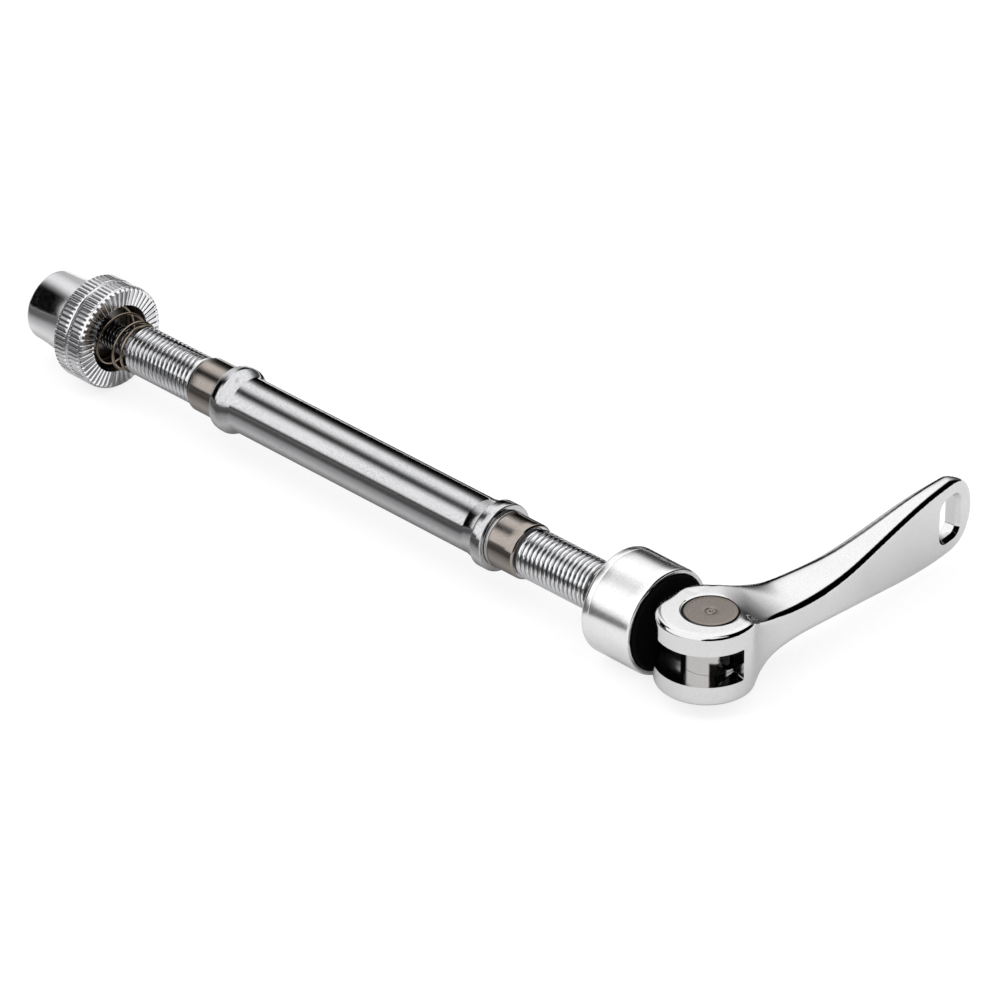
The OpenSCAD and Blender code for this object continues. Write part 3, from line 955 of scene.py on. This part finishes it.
        def ears(ring: int, angle: float) -> Spot:
            """A point of the disc that becomes the two ears."""
            z, r = disc[ring]
            x, y = self.ear_x + r * math.cos(angle), self.ear_y + r * math.sin(angle)
            within = ease((y - 1.0) / 1.5) * ease((x - self.inner_x(y)) / 2.0)
            high = abs(z) * self.top(x, y) / top * (1 - self.ear_sink * within)
            pull = self.ear_pull * r * within
            x, y = x - pull * math.cos(angle), y - pull * math.sin(angle)
            return self.pin_x + x, y, math.copysign(high, z)

        def arm(ring: int, angle: float) -> Spot:
            """A point of the neck and blade, which starts just inside the ears."""
            x, y, z = self.section(stations[ring], angle)
            early = self.arm_pull * (1 - ease(y / 0.8))
            return x + (self.pin_x - x) * early, y, z * (1 - early)

        plate = ring_tube("lever_casting", len(stations), 160, arm)
        select_only(plate, ring_tube("ears", len(disc), 160, ears))
        bpy.ops.object.join()
        return plate

    def _cutters(self) -> list[Piece]:
        """Makes the tools that cut the pin hole, its chamfers, the fork gap and the window.

        Returns:
            The cutting objects.
        """
        top, wide = self.fork_half, self.hole_r + self.hole_chamfer
        steep = top - self.hole_chamfer / 2
        hole = [(-top - 0.5, 0.3), (-top - 0.5, wide + 0.5), (-top, wide), (-steep, self.hole_r)]
        hole += [(steep, self.hole_r), (top, wide), (top + 0.5, wide + 0.5), (top + 0.5, 0.3)]

        def bore(ring: int, angle: float) -> Spot:
            """A point of the pin hole's cutter, flared at both ends."""
            z, r = hole[ring]
            return self.pin_x + r * math.cos(angle), r * math.sin(angle), z

        drill = ring_tube("bore", len(hole), 128, bore)
        slot = self._block("slot", (-25, -25, -self.gap_half), (25, 0, self.gap_half))
        turn = Matrix.Rotation(math.radians(-self.web_deg), 4, "Z")
        corner = Vector((self.pin_x + self.ear_x + self.ear_r - 0.02, self.ear_y - 0.04, 0))
        slot.data.transform(Matrix.Translation(corner * MM) @ turn)
        apply_modifier(slot, "BEVEL", width=0.25 * MM, segments=3, limit_method="ANGLE")
        return [drill, slot, self._window()]

    def _window(self) -> Piece:
        """Makes the window's cutter: a rounded hole with a wide bevel on both faces.

        Returns:
            The cutting object, which stands square to the leaning blade.
        """
        deep, bevel, corner = self.thickness(self.window_y), self.window_bevel, self.window_corner
        layers = [(-deep - bevel, 1.6 * bevel), (-deep + 0.4, 0.0), (-bevel, 0.0), (bevel, 1.6 * bevel)]

        def wall(ring: int, angle: float) -> Spot:
            """A point of the window's wall, a rounded rectangle in the blade's side view."""
            depth, grow = layers[ring]
            c, s = math.cos(angle), math.sin(angle)
            half_w, half_h = self.window_w / 2 - corner, self.window_h / 2 - corner
            y = math.copysign(half_w, c) + (corner + grow) * c if abs(c) > 1e-6 else 0.0
            z = math.copysign(half_h, s) + (corner + grow) * s if abs(s) > 1e-6 else 0.0
            return depth, y, z

        cutter = ring_tube("window", len(layers), 48, wall)
        lean = Matrix.Rotation(math.radians(self.lean_deg), 4, "Z")
        middle = Vector((self.pin_x + self.outer_x(self.window_y), self.window_y, 0))
        cutter.data.transform(Matrix.Translation(middle * MM) @ lean)
        return cutter

    def _block(self, name: str, low: Spot, high: Spot) -> Piece:
        """Adds a box between two corners, in millimetres.

        Args:
            name: The box's name.
            low: Its lowest corner.
            high: Its highest corner.

        Returns:
            The box.
        """
        size = [(h - l) * MM for l, h in zip(low, high)]
        centre = [(h + l) / 2 * MM for l, h in zip(low, high)]
        box = primitive(name, "cube", size=1.0)
        box.data.transform(Matrix.Translation(Vector(centre)) @ Matrix.Diagonal((*size, 1)))
        return box


@dataclass
class CamCup:
    """The aluminium cup and its black cushion."""

    face: float = 60.5
    length: float = 10.9
    outer_r: float = 9.5
    rim: float = 0.9
    pocket: float = 3.5
    recess_r: float = 6.3
    recess: float = 5.0
    hole_r: float = 2.6
    line_from: float = 1.7
    segments: int = 128

    def build(self) -> None:
        """Makes the cup, and dresses the cushion."""
        end = self.face + self.length
        inner = self.outer_r - self.rim
        corners = [(self.face, self.recess_r + 0.2, 0.0), (self.face, self.outer_r, 0.9)]
        line = self.face + self.line_from
        corners += [(line, self.outer_r, 0.05), (line + 0.08, self.outer_r - 0.05, 0.02)]
        corners += [(line + 0.16, self.outer_r, 0.05), (end, self.outer_r, 0.5)]
        corners += [(end, inner, 0.2), (end - self.pocket, inner, 0.1)]
        seat = self.face + self.recess
        corners += [(end - self.pocket, self.hole_r, 0.1), (seat, self.hole_r, 0.1)]
        corners += [(seat, self.recess_r, 0.1), (self.face + 0.2, self.recess_r, 0.0)]
        corners += [(self.face, self.recess_r + 0.2, 0.0)]
        stations = filled(rounded(corners, 5), 1.5)

        def place(ring: int, angle: float) -> Spot:
            """A point of the cup."""
            return turned(*stations[ring], angle)

        piece = ring_tube("cup_turned", len(stations), self.segments, place, bored=True)
        finish(piece, Body.CUP, ["cam_cup"], "cup_aluminium", TURNED_ALUMINIUM)
        dress("cup_cushion", BLACK_ACETAL)


@dataclass
class ConicalSpring:
    """A conical wire spring along X between two seats."""

    name: str
    body: Body
    node: str
    start: float
    end: float
    small_r: float = 4.15
    large_r: float = 5.8
    wire_r: float = 0.25
    turns: float = 4.5
    steps_per_turn: int = 48
    end_pitch: float = 0.95
    squashed: float = 0.6

    def build(self) -> None:
        """Bends the wire, makes it a mesh and gives the piece a mesh of its own."""
        steps = round(self.turns * self.steps_per_turn)
        curve = bpy.data.curves.new(self.name, "CURVE")
        curve.dimensions = "3D"
        curve.bevel_depth = self.wire_r * MM
        curve.bevel_resolution = 3
        curve.use_fill_caps = True
        spline = curve.splines.new("POLY")
        spline.points.add(steps)
        for i, point in enumerate(spline.points):
            t = i / steps
            along = t - self.end_pitch * math.sin(TURN * t) / TURN
            x = self.start + (self.end - self.start) * along
            r = self.small_r + (self.large_r - self.small_r) * t
            spot = turned(x, r, TURN * self.turns * t)
            point.co = (*(c * MM for c in spot), 1.0)
        piece = bpy.data.objects.new(self.name, curve)
        bpy.context.collection.objects.link(piece)
        select_only(piece)
        bpy.ops.object.convert(target="MESH")
        piece = bpy.context.active_object
        finish(piece, self.body, [self.node], "spring_wire", SPRING_WIRE)
        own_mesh(piece)


@dataclass
class AdjustingNut:
    """The chromed nut: serrated face, two knurled bands and a waisted cone."""

    face: float = -62.5
    length: float = 17.7
    outer_r: float = 9.6
    ring: float = 7.7
    waist_r: float = 7.9
    tip_r: float = 6.5
    recess_r: float = 6.3
    recess: float = 4.5
    bore_r: float = 2.55
    insert_r: float = 4.2
    insert_depth: float = 3.3
    knurls: int = 67
    knurl_depth: float = 0.3
    teeth: int = 50
    tooth_depth: float = 0.5
    bevel: float = 0.8
    groove: float = 0.8
    tip_band: float = 1.2
    waist_dip: float = 0.25
    cone_steps: int = 10
    face_steps: int = 7
    segments: int = 600

    def build(self) -> None:
        """Makes the nut and dresses the locking insert."""
        tip = self.face - self.length
        ring_end = self.face - self.ring
        middle = (self.face + ring_end) / 2
        bands = [(ring_end + self.bevel, middle - self.groove / 2)]
        bands += [(middle + self.groove / 2, self.face - self.bevel)]
        core = self.outer_r - self.knurl_depth
        corners = [(tip + 0.2, self.insert_r, 0.0), (tip, self.insert_r + 0.2, 0.0)]
        corners += [(tip, self.tip_r, 0.6)]
        low, start = self.tip_r + 0.04, tip + self.tip_band
        outline = rounded([*corners, (start, low, 0.0)], 5)
        for k in range(1, self.cone_steps + 1):
            t = k / self.cone_steps
            dip = self.waist_dip * math.sin(math.pi * t)
            waist = low + (self.waist_r - self.tip_r - 0.04) * t - dip
            outline.append((start + (ring_end - tip - self.tip_band) * t, waist))
        rest = [(ring_end, self.waist_r, 0.0), (ring_end + self.bevel * 0.7, core - 0.1, 0.1)]
        for low, high in bands:
            rest += [(low, self.outer_r, 0.1), (high, self.outer_r, 0.1)]
            if low == bands[0][0]:
                rest += [(high + 0.15, core + 0.14, 0.08), (bands[1][0] - 0.15, core + 0.14, 0.08)]
        rest += [(self.face - self.bevel + 0.1, self.outer_r - 0.1, 0.05)]
        rest += [(self.face - 0.45, self.outer_r - 0.1, 0.1), (self.face, self.outer_r - 0.4, 0.05)]
        stations = outline + filled(rounded(rest, 3), 0.45)[1:]
        first = stations[-1][1]
        for k in range(1, self.face_steps + 1):
            stations.append((self.face, first + (self.recess_r - first) * k / self.face_steps))
        floor = self.face - self.recess
        ledge = tip + self.insert_depth
        inside = [(self.face, self.recess_r, 0.0), (floor, self.recess_r, 0.1)]
        inside += [(floor, self.bore_r, 0.1), (ledge, self.bore_r, 0.05)]
        inside += [(ledge, self.insert_r, 0.05), (tip + 0.2, self.insert_r, 0.0)]
        stations += filled(rounded(inside, 3), 2.0)[1:]
        bore_x = self.face - 0.02

        def place(ring: int, angle: float) -> Spot:
            """A point of the nut, with its knurl and its gripping teeth."""
            x, r = stations[ring]
            for low, high in bands:
                if low - 0.05 <= x <= high + 0.05 and r > core:
                    cut = ease((ripple(angle / TURN * self.knurls) - 0.45) / 0.5)
                    r -= self.knurl_depth * cut * ((r - core) / self.knurl_depth)
            if x > bore_x and r >= self.recess_r:
                cut = ease((ripple(angle / TURN * self.teeth) - 0.3) / 0.6)
                x -= self.tooth_depth * (r / self.outer_r) * cut
            return turned(x, r, angle)

        piece = ring_tube("nut_knurled", len(stations), self.segments, place, bored=True)
        coats = (TURNED_CHROME, KNURLED_CHROME, TOOTHED_CHROME, SHADED_UNPLATED_BORE)
        finish(piece, Body.NUT, ["adjusting_nut"], "nut_chrome", *coats)
        for face in piece.data.polygons:
            x, r = face.center.x / MM, math.hypot(face.center.y, face.center.z) / MM
            if x > ring_end + 0.3 and r > core - 0.15 and x < self.face - self.bevel + 0.1:
                face.material_index = 1
            elif x > self.face - self.bevel and r > self.recess_r + 0.02:
                face.material_index = 2
            # The recess and the bore: darker, partly as painted shade
            elif x > tip + 0.3 and r < self.recess_r + 0.02:
                face.material_index = 3
        dress("nut_lock_insert", NATURAL_NYLON)


def dress(node: str, finish_of: Metal | Plastic) -> None:
    """Gives a solid that stays as it is a better material.

    Args:
        node: The solid's name.
        finish_of: Its finish.
    """
    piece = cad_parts[node]
    material = bpy.data.materials.get(finish_of.name) or finish_of.build()
    for slot in piece.material_slots:
        slot.material = material
    LOG.info("%s keeps its solid", node)


@dataclass
class PhotoCamera:
    """The camera of the photograph: a long lens looking down along the axle's length."""

    yaw_deg: float = 45.13
    pitch_deg: float = 30.83
    distance: float = 1195.8
    focal_px: float = 6996.4
    width_px: float = 1000.0
    across: float = 22.42
    upward: float = -5.54
    along: float = 0.58

    def build(self) -> None:
        """Adds the camera and makes it the scene's own."""
        yaw, pitch = math.radians(self.yaw_deg), math.radians(self.pitch_deg)
        right = Vector((math.cos(yaw), math.sin(yaw), 0))
        depth = Vector((-math.sin(yaw), math.cos(yaw), 0))
        forward = depth * math.cos(pitch) - Vector((0, 0, 1)) * math.sin(pitch)
        up = right.cross(forward)
        data = bpy.data.cameras.new("photo_camera")
        data.sensor_width = 36.0
        data.lens = data.sensor_width * self.focal_px / self.width_px
        camera = bpy.data.objects.new("photo_camera", data)
        eye = right * self.across + up * self.upward - forward * self.distance + Vector((self.along, 0, 0))
        turn = Matrix((right, up, -forward)).transposed().to_4x4()
        camera.matrix_world = Matrix.Translation(eye * MM) @ turn
        bpy.context.collection.objects.link(camera)
        bpy.context.scene.camera = camera


@dataclass(frozen=True)
class Board:
    """A board that only reflections see, black or lit, given by its corners."""

    name: str
    corners: tuple[Spot, Spot, Spot, Spot]
    glow: float = 0.0


@dataclass
class Studio:
    """A white floor and world, a tent of grey strips along the axle, and soft lamps overhead."""

    floor_z: float = -9.6
    floor_r_m: float = 6.0
    sleeve_r: float = 520.0
    sleeve: Point = (-1300.0, 420.0)
    tent_glow: float = 1.35
    boards: list[Board] = field(
        default_factory=lambda: [
            Board("end_flag", ((420, -520, -9), (420, 520, -9), (420, -520, 520), (420, 520, 520))),
            Board("end_panel", ((419, -260, 340), (419, 60, 340), (419, -260, 500), (419, 60, 500)), 1.1),
        ]
    )

    def build(self) -> None:
        """Makes the world, the floor, the tent, the boards at its end and the lamps."""
        self._world()
        self._floor()
        self._tent()
        for board in self.boards:
            self._board(board)
        self._lamps()

    def _world(self) -> None:
        """A white surrounding for the camera and reflections, and a plain level of light."""
        world = bpy.data.worlds.new("white_tent")
        bpy.context.scene.world = world
        nodes = Nodes(world)
        path = nodes.add("LightPath").outputs
        seen = nodes.math("MAXIMUM", path["Is Camera Ray"], path["Is Glossy Ray"])
        seen = nodes.math("MAXIMUM", seen, path["Is Transmission Ray"])
        strength = nodes.remap(seen, target=(0.8, 1.0))
        light = nodes.add("Background", {"Color": (1, 1, 1, 1), "Strength": strength})
        nodes.add("OutputWorld", {"Surface": light.outputs[0]})

    def _floor(self) -> None:
        """A pale lit floor that keeps a faint shadow, with grey cloths that only metal reflects."""
        floor = primitive(
            "floor", "circle", vertices=64, radius=self.floor_r_m, fill_type="NGON",
            location=(0, 0, self.floor_z * MM),
        )
        bpy.ops.object.transform_apply(location=True, rotation=False, scale=False)
        material, nodes = new_material("pale paper floor")
        path = nodes.add("LightPath").outputs
        place = nodes.place()
        paper = nodes.remap(nodes.noise(place, 900.0), target=(0.955, 0.975))
        tone = nodes.mix(path["Is Glossy Ray"], paper, self._cloth(nodes, place))
        shader = nodes.add("BsdfDiffuse", {"Color": tone})
        white = nodes.add("Emission", {"Color": (1, 1, 1, 1), "Strength": 1.0})
        share = nodes.remap(path["Is Camera Ray"], target=(0.0, 0.8))
        nodes.surface("MixShader", {0: share, 1: shader.outputs[0], 2: white.outputs[0]})
        floor.data.materials.append(material)

    @staticmethod
    def _cloth(nodes: Nodes, place: Socket) -> Socket:
        """Makes the tones that lie round the axle on the floor.

        They run in strips along it. One patch faces the nut, and two more lie behind the axle and
        beyond its lever end.

        Args:
            nodes: The floor's nodes.
            place: The floor's own coordinates.

        Returns:
            The tone that a reflection sees.
        """
        axes = nodes.add("SeparateXYZ", {"Vector": place}).outputs
        stops = [(-200, 0.09), (-60, 0.08), (-34, 0.07), (-26, 0.14), (-21, 0.24), (-14.8, 0.34)]
        stops += [(-8, 0.56), (-4.5, 0.43), (-1.7, 0.32), (1, 0.28), (11, 0.25), (30, 0.3)]
        cloth = nodes.ramp(nodes.span(axes["Y"], -200, 120), stops, -200, 120)
        along = nodes.span(axes["X"], -100, 100)
        lift = nodes.ramp(along, [(-80, 0.62), (-60, 0.5), (35, 0.5)], -100, 100)
        cloth = nodes.multiply(cloth, lift)
        cloth = nodes.add("VectorMath", {0: cloth, "Scale": 2.0}, operation="SCALE").outputs[0]
        left, near = nodes.span(axes["X"], -36, -42), nodes.span(axes["Y"], 0, 5)
        cloth = nodes.mix(nodes.math("MULTIPLY", left, near), cloth, (0.75, 0.75, 0.75, 1))
        behind = nodes.span(axes["Y"], 24, 42)
        beside = nodes.ramp(along, [(0.07, 0.0), (0.13, 1.0)])
        cloth = nodes.mix(nodes.math("MULTIPLY", behind, beside), cloth, (0.0, 0.0, 0.0, 1))
        return nodes.mix(nodes.span(axes["X"], 34, 41), cloth, (0.62, 0.62, 0.62, 1))

    def _tent(self) -> None:
        """Bends the tent's cloth round the axle, with darker and lighter strips along it.

        The nut, the axle, the cup and the lever each face another length of the cloth.
        """
        low, high = (end * MM for end in self.sleeve)
        tent = primitive(
            "tent", "cylinder", vertices=96, radius=self.sleeve_r * MM, depth=high - low,
            end_fill_type="NOTHING", location=((low + high) / 2, 0, 0), rotation=(0, math.pi / 2, 0),
        )
        bpy.ops.object.transform_apply(location=True, rotation=True, scale=True)
        material, nodes = new_material("tent cloth")
        axes = nodes.add("SeparateXYZ", {"Vector": nodes.place()}).outputs
        turn = nodes.remap(nodes.math("ARCTAN2", axes["Z"], axes["Y"]), (0.0, math.pi))
        tone = nodes.ramp(turn, NUT_STRIP, 0, 180)
        strips = ((AXLE_STRIP, -530, -490), (CUP_STRIP, -340, -329), (LEVER_STRIP, -290, -240))
        for stops, start, full in strips:
            strip = nodes.ramp(turn, stops, 0, 180)
            tone = nodes.mix(nodes.span(axes["X"], start, full), tone, strip)
        back = nodes.ramp(turn, [(80, 0.0), (95, 1.0)], 0, 180)
        dark = nodes.multiply(tone, back)
        tone = nodes.mix(nodes.span(axes["X"], 110, 170), tone, dark)
        nodes.surface("Emission", {"Color": tone, "Strength": self.tent_glow})
        tent.data.materials.append(material)
        self._unseen(tent)

    @staticmethod
    def _unseen(piece: Piece) -> None:
        """Leaves a cloth to the reflections alone."""
        piece.visible_camera = False
        piece.visible_diffuse = False
        piece.visible_transmission = False
        piece.visible_shadow = False

    def _board(self, board: Board) -> None:
        """Hangs one board.

        Args:
            board: Its name, corners and brightness.
        """
        plane = primitive(board.name, "plane", size=1.0)
        for vertex, corner in zip(plane.data.vertices, board.corners):
            vertex.co = Vector(corner) * MM
        material, nodes = new_material(f"{board.name} cloth")
        nodes.surface("Emission", {"Color": (1, 1, 1, 1), "Strength": board.glow})
        plane.data.materials.append(material)
        self._unseen(plane)

    @staticmethod
    def _lamps() -> None:
        """Two large soft lamps, high in front and behind."""
        for name, place, power in (("key", (-0.5, -0.7, 1.3), 16.0), ("fill", (0.7, 0.5, 1.2), 10.0)):
            data = bpy.data.lights.new(name, "AREA")
            data.energy = power
            data.size = 1.4
            lamp = bpy.data.objects.new(name, data)
            lamp.location = place
            lamp.rotation_euler = (-Vector(place)).to_track_quat("-Z", "Y").to_euler()
            lamp.visible_glossy = False
            bpy.context.collection.objects.link(lamp)


def main() -> None:
    """Makes the camera, the studio and every piece, in order."""
    logging.basicConfig(level=logging.INFO, format="%(name)s %(message)s")
    bpy.context.scene.view_settings.view_transform = "Standard"
    PhotoCamera().build()
    Studio().build()
    HollowAxle().build()
    Skewer().build()
    CamLever().build()
    CamCup().build()
    ConicalSpring("cam_spring_wire", Body.CAM_SPRING, "cam_spring", 57.5, 65.2).build()
    ConicalSpring("nut_spring_wire", Body.NUT_SPRING, "nut_spring", -57.5, -66.7).build()
    AdjustingNut().build()


if __name__ == "__main__":
    main()
